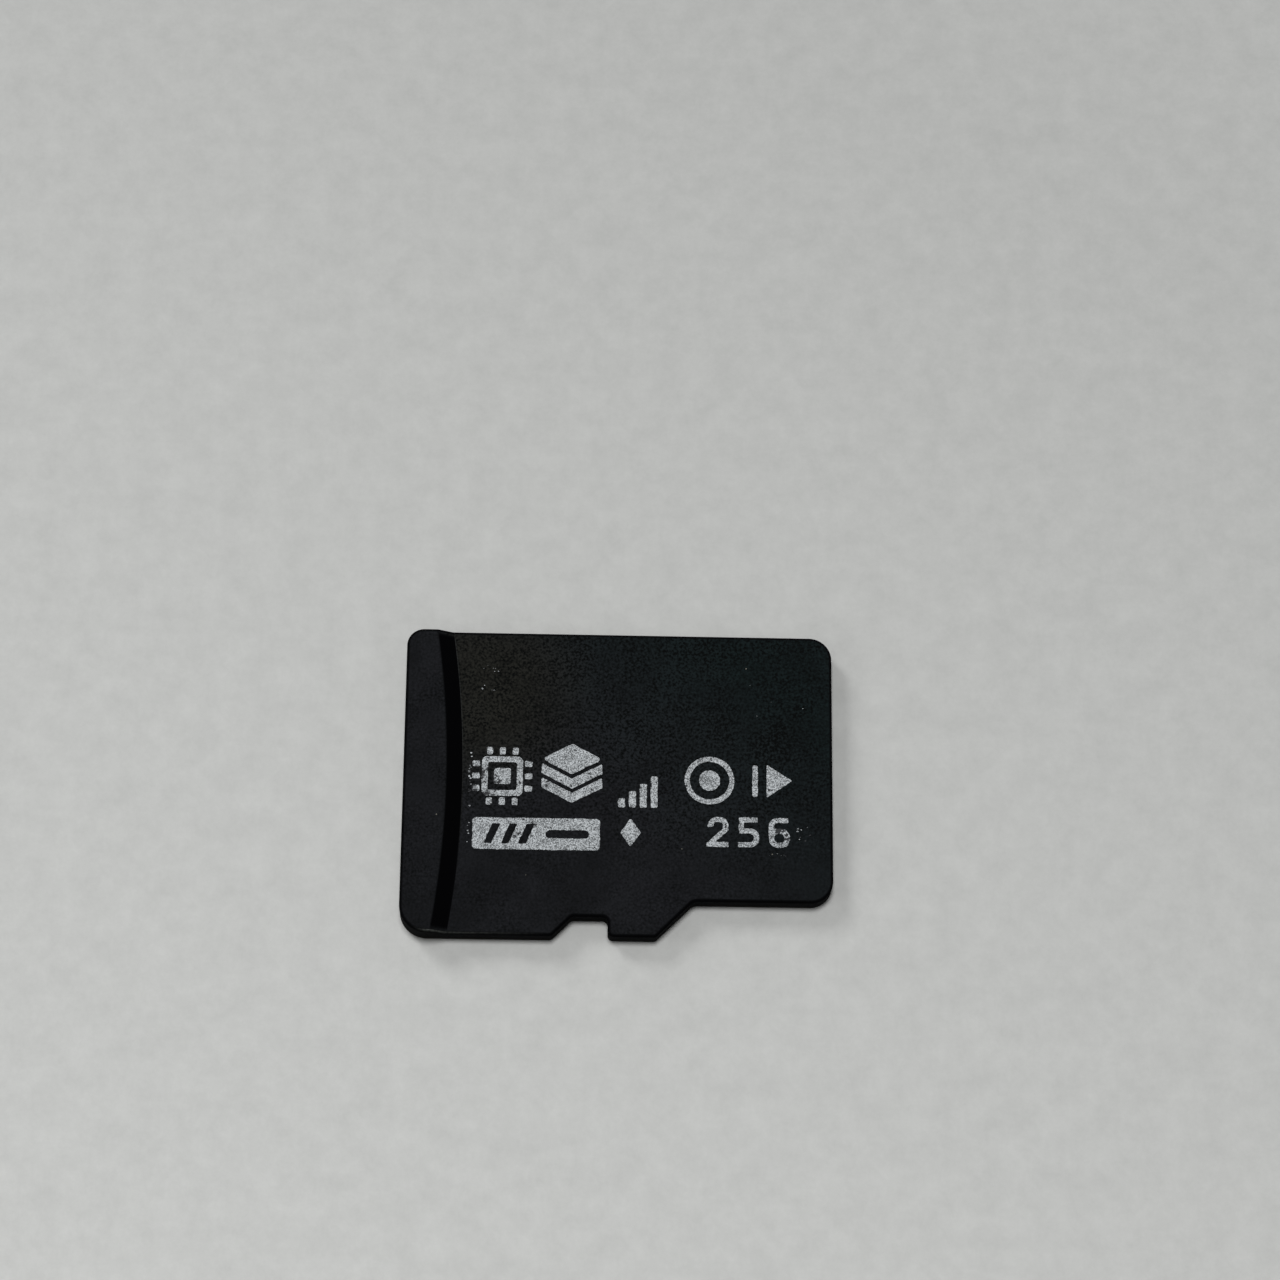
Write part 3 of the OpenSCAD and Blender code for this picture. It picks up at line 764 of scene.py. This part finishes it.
def printing_ink(look, mould):
    """Pale printing ink over the grain: thin, dull and mottled, and rubbed off at two places.

    The ink is gone where a noise plus the wear of the nearest worn place passes a threshold.
    """
    most_wear, gone_from, gone_to = 0.2, 0.645, 0.665
    plate_z = bpy.context.scene.card_shape.plate_z
    material, tree, place = start_material("printing ink")
    noises = ((1, 2), (8, 3), (5, 3))  # width as a multiple of the mottling's, and detail
    mottle, patches, chips = [
        add_node(tree, "TexNoise", {
            "Vector": place, "Scale": 1 / (width * look.mottle), "Detail": detail, "Roughness": 0.6
        })
        for width, detail in noises
    ]
    thinner = add_node(tree, "MapRange", {
        "Value": patches, "From Min": 0.3, "From Max": 0.7, "To Min": -0.055, "To Max": 0.055
    })
    cover = add_node(tree, "Math", [mottle, thinner], operation="ADD")
    spread = add_node(tree, "MapRange", {"Value": cover, "From Min": 0.39, "From Max": 0.63})
    ink = add_node(tree, "Mix", [spread, rgba(look.thin_ink), rgba(look.ink)], data_type="RGBA")
    wear_and_glint = 0.0
    for x, y, reach in WORN_PLACES:
        away = add_node(tree, "VectorMath", [place, (x * MM, y * MM, plate_z)], operation="DISTANCE")
        near = add_node(tree, "MapRange", {
            "Value": away, "From Min": 0, "From Max": reach * MM, "To Min": most_wear, "To Max": 0
        })
        wear_and_glint = add_node(tree, "Math", [near, wear_and_glint], operation="MAXIMUM")
    level = add_node(tree, "Math", [chips, wear_and_glint], operation="ADD")
    gone = add_node(tree, "MapRange", {"Value": level, "From Min": gone_from, "From Max": gone_to})
    body = add_node(tree, "Mix", [gone, ink, rgba(mould.light)], data_type="RGBA")
    bump = add_node(tree, "Bump", {"Height": mottle, "Strength": 1.0, "Distance": 0.5 * mould.depth})
    finish_material(tree, Base_Color=body, Roughness=0.7, Normal=bump, Specular_IOR_Level=0.3)
    return material


def contact_lanes(tree, place):
    """Nodes for the distance from the nearest contact's middle line, and from the contacts' back end.

    The first is a triangle wave along Y whose period is the contacts' pitch. The second is positive
    behind the contacts.
    """
    low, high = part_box(CONTACTS[0])
    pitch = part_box(CONTACTS[1])[0].y - low.y
    x, y = add_node(tree, "SeparateXYZ", [place]).outputs[:2]
    from_first = add_node(tree, "Math", [y, (low.y + high.y) / 2], operation="SUBTRACT")
    off_lane = add_node(tree, "Math", [from_first, pitch / 2], operation="PINGPONG")
    behind = add_node(tree, "Math", [low.x, x], operation="SUBTRACT")
    return off_lane, behind


def trace_lanes(tree, look, place):
    """Nodes for the distance from the traces and vias, negative inside them.

    The larger of two such distances keeps what two shapes share, and the smaller one joins them. A
    via is a ring, which is the distance from its circle less half the ring's width.
    """
    trace_half, via_r, via_half = 0.06 * MM, 0.13 * MM, 0.06 * MM
    first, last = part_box(CONTACTS[0])[0].y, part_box(CONTACTS[-1])[1].y
    off_lane, behind = contact_lanes(tree, place)
    off_trace = add_node(tree, "Math", [off_lane, trace_half], operation="SUBTRACT")
    past_run = add_node(tree, "Math", [behind, look.trace_run], operation="SUBTRACT")
    trace = add_node(tree, "Math", [off_trace, past_run], operation="MAXIMUM")
    to_via = add_node(tree, "CombineXYZ", [off_lane, past_run])
    from_via = add_node(tree, "VectorMath", [to_via], operation="LENGTH")
    from_circle = add_node(tree, "Math", [from_via, via_r], operation="SUBTRACT")
    off_circle = add_node(tree, "Math", [from_circle], operation="ABSOLUTE")
    via = add_node(tree, "Math", [off_circle, via_half], operation="SUBTRACT")
    lane = add_node(tree, "Math", [trace, via], operation="MINIMUM")
    y = add_node(tree, "SeparateXYZ", [place]).outputs["Y"]
    from_middle = add_node(tree, "Math", [y, (first + last) / 2], operation="SUBTRACT")
    off_middle = add_node(tree, "Math", [from_middle], operation="ABSOLUTE")
    past_row = add_node(tree, "Math", [off_middle, (last - first) / 2], operation="SUBTRACT")
    return add_node(tree, "Math", [lane, past_row], operation="MAXIMUM")


def ground_plane(tree, look, place):
    """Nodes for the distance from the hatched ground plane's copper, negative inside it.

    The bars run at 45 degrees both ways, and a rim follows the plane's rectangle. The distance from
    the rectangle is the larger of |x - middle| - half its length and |y - middle| - half its width.
    """
    bar_half, rim_half, border, via_gap = 0.08 * MM, 0.07 * MM, 0.5 * MM, 0.7 * MM
    back_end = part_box(CONTACTS[0])[0].x
    low = np.array([CAP_LOW.x, CAP_LOW.y + bpy.context.scene.card_shape.notch_depth]) + border
    high = np.array([back_end - look.trace_run - via_gap, CAP_HIGH.y - border])
    from_middle = add_node(tree, "VectorMath", [place, (*(low + high) / 2, 0)], operation="SUBTRACT")
    off_middle = add_node(tree, "VectorMath", [from_middle], operation="ABSOLUTE")
    past_half = add_node(tree, "VectorMath", [off_middle, (*(high - low) / 2, 0)], operation="SUBTRACT")
    past_x, past_y = add_node(tree, "SeparateXYZ", [past_half]).outputs[:2]
    plane = add_node(tree, "Math", [past_x, past_y], operation="MAXIMUM")
    x, y = add_node(tree, "SeparateXYZ", [place]).outputs[:2]
    bars = []
    for way in ("ADD", "SUBTRACT"):
        slanted = add_node(tree, "Math", [x, y], operation=way)
        bars.append(add_node(tree, "Math", [slanted, look.hatch_step / math.sqrt(2)], operation="PINGPONG"))
    off_bars = add_node(tree, "Math", bars, operation="MINIMUM")
    hatch = add_node(tree, "Math", [off_bars, bar_half], operation="SUBTRACT")
    hatched = add_node(tree, "Math", [hatch, plane], operation="MAXIMUM")
    off_edge = add_node(tree, "Math", [plane], operation="ABSOLUTE")
    rim = add_node(tree, "Math", [off_edge, rim_half], operation="SUBTRACT")
    return add_node(tree, "Math", [hatched, rim], operation="MINIMUM")


def solder_mask(look):
    """Black solder mask over a glass-epoxy board, so thin that the copper under it shows as relief.

    A trace runs back from each contact to a round via. Behind the vias lies a ground plane hatched at
    45 degrees. Over copper the mask is a shade lighter. The sides are the sawn laminate, dull black.
    """
    soft, weave_width, weave_share, relief_depth = 0.025 * MM, 0.25 * MM, 0.15, 0.012 * MM
    material, tree, place = start_material("solder mask")
    lanes = trace_lanes(tree, look, place)
    ground = ground_plane(tree, look, place)
    nearest = add_node(tree, "Math", [lanes, ground], operation="MINIMUM")
    copper = add_node(tree, "MapRange", {
        "Value": nearest, "From Min": soft, "From Max": -soft
    }, interpolation_type="SMOOTHSTEP")
    masked = add_node(tree, "Mix", [copper, rgba(look.mask), rgba(look.mask_over_copper)], data_type="RGBA")
    facing = add_node(tree, "SeparateXYZ", [place.node.outputs["Normal"]]).outputs["Z"]
    level = add_node(tree, "Math", [facing], operation="ABSOLUTE")
    sawn = add_node(tree, "Math", [level, 0.5], operation="LESS_THAN")
    body = add_node(tree, "Mix", [sawn, masked, rgba(look.laminate)], data_type="RGBA")
    weave = add_node(tree, "TexNoise", {"Vector": place, "Scale": 1 / weave_width, "Detail": 3})
    gloss = add_node(tree, "MapRange", {
        "Value": weave, "From Min": 0.3, "From Max": 0.7, "To Min": 0.28, "To Max": 0.42
    })
    roughness = add_node(tree, "Math", [gloss, sawn], operation="MAXIMUM")
    relief = add_node(tree, "Math", [weave, weave_share, copper], operation="MULTIPLY_ADD")
    bump = add_node(tree, "Bump", {"Height": relief, "Strength": 1.0, "Distance": relief_depth})
    finish_material(tree, Base_Color=body, Roughness=roughness, Normal=bump, Specular_IOR_Level=0.05)
    return material


def gold_plate(look):
    """Hard gold over nickel: satin, with fine scratches along the way the card slides in.

    The socket's springs have wiped a paler, brighter line along the front of each contact.
    """
    stretch, patch_width, groove_depth = 0.03, 0.5 * MM, 0.003 * MM
    line_half, line_core = 0.16 * MM, 0.08 * MM
    wipe_start, wipe_full = -1.1 * MM, -1.5 * MM
    material, tree, place = start_material("hard gold plate")
    off_lane, behind = contact_lanes(tree, place)
    along = add_node(tree, "Mapping", {"Vector": place, "Scale": (stretch, 1, 1)})
    scratches = add_node(tree, "TexNoise", {"Vector": along, "Scale": 1 / look.scratch, "Detail": 3})
    patches = add_node(tree, "TexNoise", {"Vector": place, "Scale": 1 / patch_width, "Detail": 2})
    satin = add_node(tree, "MapRange", {
        "Value": patches, "From Min": 0.3, "From Max": 0.7, "To Min": 0.25, "To Max": 0.45
    })
    in_lane = add_node(tree, "MapRange", {"Value": off_lane, "From Min": line_half, "From Max": line_core})
    in_front = add_node(tree, "MapRange", {"Value": behind, "From Min": wipe_start, "From Max": wipe_full})
    wiped = add_node(tree, "Math", [in_lane, in_front], operation="MULTIPLY")
    streaks = add_node(tree, "MapRange", {
        "Value": scratches, "From Min": 0.4, "From Max": 0.6, "To Min": 0.3
    })
    wipe = add_node(tree, "Math", [wiped, streaks], operation="MULTIPLY")
    groove = add_node(tree, "MapRange", {
        "Value": scratches, "From Min": 0.52, "From Max": 0.7, "To Min": 1, "To Max": 0.75
    })
    grooved = add_node(tree, "VectorMath", [look.gold, groove], operation="SCALE")
    body = add_node(tree, "Mix", [wipe, grooved, rgba(look.wiped)], data_type="RGBA")
    roughness = add_node(tree, "Math", [wipe, -0.15, satin], operation="MULTIPLY_ADD")
    bump = add_node(tree, "Bump", {"Height": scratches, "Strength": 1.0, "Distance": groove_depth})
    finish_material(tree, Base_Color=body, Metallic=1.0, Roughness=roughness, Normal=bump)
    return material


def grained(name, dark, light, grain, metallic, roughness):
    """A plain finish with a two-tone grain, for the parts that the moulding hides.

    grain is the width of one grain in millimetres.
    """
    material, tree, place = start_material(name)
    speckle = add_node(tree, "TexNoise", {"Vector": place, "Scale": 1 / (grain * MM), "Detail": 3})
    body = add_node(tree, "Mix", [speckle, rgba(linear(dark)), rgba(linear(light))], data_type="RGBA")
    bump = add_node(tree, "Bump", {"Height": speckle, "Strength": 0.4, "Distance": 0.02 * grain * MM})
    finish_material(tree, Base_Color=body, Metallic=metallic, Roughness=roughness, Normal=bump)
    return material


def pale_floor(look):
    """Plain matt card under the object, with a faint unevenness and a painted light falloff, up to 12 percent
    lighter toward -X and -Y.

    Both die away far from the object, where the floor takes the colour of the backdrop.
    """
    # The second is the way and the rate, per metre, of a painted light falloff across the floor.
    mottle_width, light_slope = 1.1 * MM, (-2.4, -3.4, 0)
    far, close = 0.26, 0.04
    material, tree, place = start_material("pale matt card")
    cloud = add_node(tree, "TexNoise", {
        "Vector": place, "Scale": 1 / mottle_width, "Detail": 4, "Roughness": 0.8
    })
    uneven = add_node(tree, "MapRange", {
        "Value": cloud, "From Min": 0.3, "From Max": 0.7, "To Min": 0.94, "To Max": 1.06
    })
    # Painted light: the floor is up to 12 percent lighter toward -X and -Y and darker the other way.
    across = add_node(tree, "VectorMath", [place, light_slope], operation="DOT_PRODUCT")
    painted_light_falloff = add_node(tree, "MapRange", {
        "Value": across, "From Min": -0.12, "From Max": 0.12, "To Min": 0.88, "To Max": 1.12
    })
    mottle_and_light = add_node(tree, "Math", [uneven, painted_light_falloff], operation="MULTIPLY")
    away = add_node(tree, "VectorMath", [place], operation="LENGTH")
    near = add_node(tree, "MapRange", {
        "Value": away, "From Min": far, "From Max": close
    }, interpolation_type="SMOOTHSTEP")
    shade = add_node(tree, "Mix", [near, 1.0, mottle_and_light], data_type="FLOAT")
    body = add_node(tree, "VectorMath", [look.floor, shade], operation="SCALE")
    finish_material(tree, Base_Color=body, Roughness=0.9, Specular_IOR_Level=0.03)
    return material


def finish_nodes(names, material):
    """Puts a material on CAD nodes, whose shape stays as it is."""
    for name in names:
        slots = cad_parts[name].material_slots
        if not slots:
            raise RuntimeError(f"{name} has no material slot")
        for slot in slots:
            slot.material = material


# Operators

class CARD_OT_moulded_cap(bpy.types.Operator):
    """Makes the moulded cap with its thumb rib, in place of the plain one"""

    bl_idname = "card.moulded_cap"
    bl_label = "Moulded Cap"

    def execute(self, context):
        scene = context.scene
        points, faces, flat_faces, amounts = cap_surface(scene.card_shape)
        material = mould_compound(scene.card_mould)
        cap = add_piece("moulded_cap", points, faces, material, "mould_compound", flat_faces)
        for name, amount in amounts.items():
            attribute = cap.data.attributes.new(name, "FLOAT", "POINT")
            attribute.data.foreach_set("value", amount.astype(np.float32))
        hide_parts("mould_body")
        return {"FINISHED"}


class CARD_OT_printed_marks(bpy.types.Operator):
    """Prints the generic marks on the plate"""

    bl_idname = "card.printed_marks"
    bl_label = "Printed Marks"

    def execute(self, context):
        look = context.scene.card_print
        ink = printing_ink(look, context.scene.card_mould)
        draw = np.random.default_rng(look.seed)
        signs = {
            "print_chip": chip_sign(), "print_layers": layer_sign(), "print_band": band_sign(),
            "print_level": level_sign(), "print_diamond": diamond_sign(), "print_ring": ring_sign(),
            "print_arrow": arrow_sign(), "print_number": number_sign(look.figure_scale),
        }
        for name, marks in signs.items():
            print_piece(name, [
                [wandering(loop, look.edge_wander / MM, draw) for loop in loops] for loops in marks
            ], ink)
        print_piece("print_flecks", fleck_sign(draw), ink)
        return {"FINISHED"}


class CARD_OT_board_finish(bpy.types.Operator):
    """Gives the board its solder mask and the contacts their gold"""

    bl_idname = "card.board_finish"
    bl_label = "Board and Contacts"

    def execute(self, context):
        look = context.scene.card_board
        finish_nodes(["board"], solder_mask(look))
        finish_nodes(CONTACTS, gold_plate(look))
        return {"FINISHED"}


class CARD_OT_inner_finish(bpy.types.Operator):
    """Gives each part inside the moulding its finish"""

    bl_idname = "card.inner_finish"
    bl_label = "Inner Parts"

    def execute(self, context):
        dies = ("flash", "controller")
        finishes = (  # nodes, then name, dark, light, width of a grain in mm, metallic and roughness
            ([f"{die}_die" for die in dies], ("silicon", "3c424c", "565e6b", 0.4, 0.6, 0.2)),
            ([f"{die}_film" for die in dies], ("die attach film", "a39c80", "bdb698", 0.1, 0.0, 0.6)),
            ([f"{die}_bond_wires" for die in dies], ("gold wire", "c99a45", "e6bd68", 0.03, 1.0, 0.25)),
            ([f"{die}_bond_fingers" for die in dies], ("soft gold", "c49a4a", "deb562", 0.05, 1.0, 0.4)),
            ([f"capacitor_{i}" for i in (1, 2, 3)], ("fired ceramic", "7d6450", "97795f", 0.03, 0.0, 0.5)),
            (["resistor"], ("glass overcoat", "15171a", "25282d", 0.05, 0.0, 0.25)),
            (["chip_end_caps"], ("matt tin", "b4b7ba", "cfd2d4", 0.02, 1.0, 0.45)),
            (["solder_joints"], ("solder", "9a9ea1", "b9bdc0", 0.04, 1.0, 0.35)),
        )
        for nodes, finish in finishes:
            finish_nodes(nodes, grained(*finish))
        return {"FINISHED"}


class CARD_OT_stage(bpy.types.Operator):
    """Lays the floor, hangs the lamps, sets the world's light and places the camera"""

    bl_idname = "card.stage"
    bl_label = "Stage"

    def execute(self, context):
        look = context.scene.card_stage
        self.lay_floor(look)
        shares = {"window": look.window_share, "overhead": look.overhead_share, "fill": look.fill_share}
        for name, *angles in LAMPS:
            self.hang_lamp(context, name, shares[name], *(math.radians(angle) for angle in angles))
        self.light_world(context, look, 1 - sum(shares.values()))
        self.place_camera(context, look)
        context.scene.view_settings.view_transform = "Standard"
        return {"FINISHED"}

    def lay_floor(self, look):
        half = look.floor_size / 2
        below = -0.005 * MM  # so that the floor and the card's underside don't share a plane
        points = [(-half, -half, below), (half, -half, below), (half, half, below), (-half, half, below)]
        floor = add_piece("floor", points, [(0, 1, 2, 3)], pale_floor(look), None, [0])

    def hang_lamp(self, context, name, share, azimuth, elevation, width):
        """A distant round source, width across, that gives a level surface its share of the light."""
        lamp = bpy.data.lights.new(name, "SUN")
        lamp.angle = width
        lamp.energy = share * math.pi / math.sin(elevation)
        hung = bpy.data.objects.new(name, lamp)
        hung.rotation_euler = (0, math.pi / 2 - elevation, azimuth)
        context.scene.collection.objects.link(hung)

    def light_world(self, context, look, rest):
        """Even light from all round makes up the rest. The camera and mirrors see the plain backdrop."""
        world = bpy.data.worlds.new("soft room")
        context.scene.world = world
        world.use_nodes = True
        tree = world.node_tree
        tree.nodes.clear()
        light = add_node(tree, "Background", {"Color": (1, 1, 1, 1), "Strength": rest})
        plain = add_node(tree, "Background", {"Color": rgba(look.backdrop), "Strength": 1.0})
        rays = add_node(tree, "LightPath").outputs
        glossy, through = rays["Is Glossy Ray"], rays["Is Transmission Ray"]
        mirrored = add_node(tree, "Math", [glossy, through], operation="MAXIMUM")
        seen = add_node(tree, "Math", [rays["Is Camera Ray"], mirrored], operation="MAXIMUM")
        both = add_node(tree, "MixShader", [seen, light, plain])
        add_node(tree, "OutputWorld", [both])

    def place_camera(self, context, look):
        """The photograph's view: 17 degrees from straight above, from the notched side."""
        data = bpy.data.cameras.new("camera")
        data.lens = look.lens
        data.sensor_width = SENSOR
        data.clip_start, data.clip_end = 0.01, 10  # in metres
        camera = bpy.data.objects.new("camera", data)
        camera.rotation_mode = "ZYX"
        camera.rotation_euler = [math.radians(angle) for angle in CAMERA_TURN]
        camera.location = [value * MM for value in CAMERA_PLACE]
        context.scene.collection.objects.link(camera)
        context.scene.camera = camera


class CARD_PT_parts(bpy.types.Panel):
    """Lists the card's pieces and their settings"""

    bl_idname = "CARD_PT_parts"
    bl_label = "Flash Memory Card"
    bl_space_type = "VIEW_3D"
    bl_region_type = "UI"
    bl_category = "Memory Card"

    def draw(self, context):
        for operator in OPERATORS:
            self.layout.operator(operator.bl_idname)
        for name, group in GROUPS.items():
            box = self.layout.box()
            box.label(text=group.__doc__)
            for setting in group.__annotations__:
                box.prop(getattr(context.scene, name), setting)


GROUPS = {
    "card_shape": CardShape, "card_mould": MouldLook, "card_print": PrintLook,
    "card_board": BoardLook, "card_stage": StageLook,
}
OPERATORS = (
    CARD_OT_moulded_cap, CARD_OT_printed_marks, CARD_OT_board_finish, CARD_OT_inner_finish, CARD_OT_stage
)


def register():
    for item in (*GROUPS.values(), *OPERATORS, CARD_PT_parts):
        bpy.utils.register_class(item)
    for name, group in GROUPS.items():
        setattr(bpy.types.Scene, name, PointerProperty(type=group))


def unregister():
    for name in GROUPS:
        delattr(bpy.types.Scene, name)
    for item in reversed((*GROUPS.values(), *OPERATORS, CARD_PT_parts)):
        bpy.utils.unregister_class(item)


def main():
    register()
    bpy.ops.card.moulded_cap()
    bpy.ops.card.printed_marks()
    bpy.ops.card.board_finish()
    bpy.ops.card.inner_finish()
    bpy.ops.card.stage()


if __name__ == "__main__":
    main()
